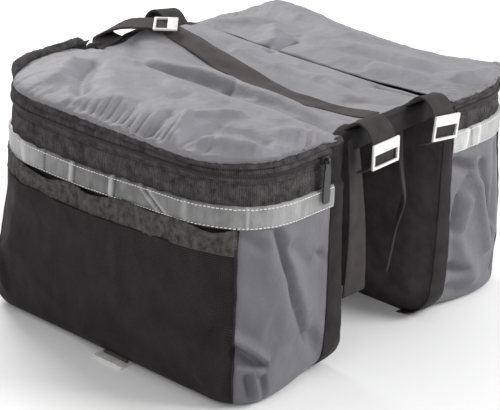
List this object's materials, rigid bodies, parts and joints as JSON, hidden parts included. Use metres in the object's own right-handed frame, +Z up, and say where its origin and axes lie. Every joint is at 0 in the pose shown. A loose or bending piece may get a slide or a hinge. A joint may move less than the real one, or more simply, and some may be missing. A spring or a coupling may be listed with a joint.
{
  "type": "bicycle pannier",
  "caption": "Double soft bicycle pannier with zipped bags joined by a fabric bridge over the rack, reflective bands, mesh pockets and webbing straps with ladder-lock buckles.",
  "frame": {"origin": "middle of the bounding box on the floor, under the bridge between the two bags", "axes": "+X along the bicycle towards the end with the near bag's zip slider and the hanging tails, +Y across the bicycle from the near bag to the far bag, +Z up"},
  "size_m": [0.4128, 0.4614, 0.2733],
  "materials": {
    "grey_nylon": "coated woven nylon, slight sheen",
    "black_fabric": "matte",
    "mesh": "fine mesh, matte",
    "knit": "ribbed knit, matte",
    "reflective": "reflective tape, satin",
    "webbing": "ribbed webbing",
    "zip_black": "satin",
    "buckle": "satin silver",
    "puller": "black edge with a grey face"
  },
  "bodies": {
    "bags": {"near_body": "grey_nylon", "near_back_panel": "black_fabric", "near_edge_binding": "black_fabric", "near_reflective_strip": "reflective", "near_knit_band": "knit", "near_zip_tape": "zip_black", "near_zip_coil": "zip_black", "near_mesh_pocket": "mesh", "near_pocket_hem": "webbing", "near_lid": "grey_nylon", "near_lid_rim": "black_fabric", "near_base_tab": "webbing", "near_base_buckle": "buckle", "near_zip_slider": "zip_black", "far_body": "grey_nylon", "far_back_panel": "black_fabric", "far_edge_binding": "black_fabric", "far_reflective_strip": "reflective", "far_knit_band": "knit", "far_zip_tape": "zip_black", "far_zip_coil": "zip_black", "far_mesh_pocket": "mesh", "far_pocket_hem": "webbing", "far_lid": "grey_nylon", "far_lid_rim": "black_fabric", "far_base_tab": "webbing", "far_base_buckle": "buckle", "far_zip_slider": "zip_black", "bridge": "grey_nylon", "handle_webbing": "webbing", "tail_near": "webbing", "tail_far": "webbing", "rack_strap_right_near": "webbing", "rack_strap_right_far": "webbing", "rack_strap_left_far": "webbing", "rack_strap_left_near": "webbing", "buckle_right_near": "buckle", "buckle_right_far": "buckle", "buckle_left_far": "buckle", "buckle_left_near": "buckle"},
    "near_puller": {"near_zip_puller": "puller"},
    "far_puller": {"far_zip_puller": "puller"}
  },
  "joints": [
    {"name": "near_puller_hinge", "type": "hinge", "parent": "bags", "child": "near_puller", "pos_m": [0.1857, -0.112, 0.24], "axis": [0, -1, 0], "range_deg": [0, 150]},
    {"name": "far_puller_hinge", "type": "hinge", "parent": "bags", "child": "far_puller", "pos_m": [-0.1857, 0.112, 0.23244], "axis": [0, 1, 0], "range_deg": [0, 150]}
  ]
}
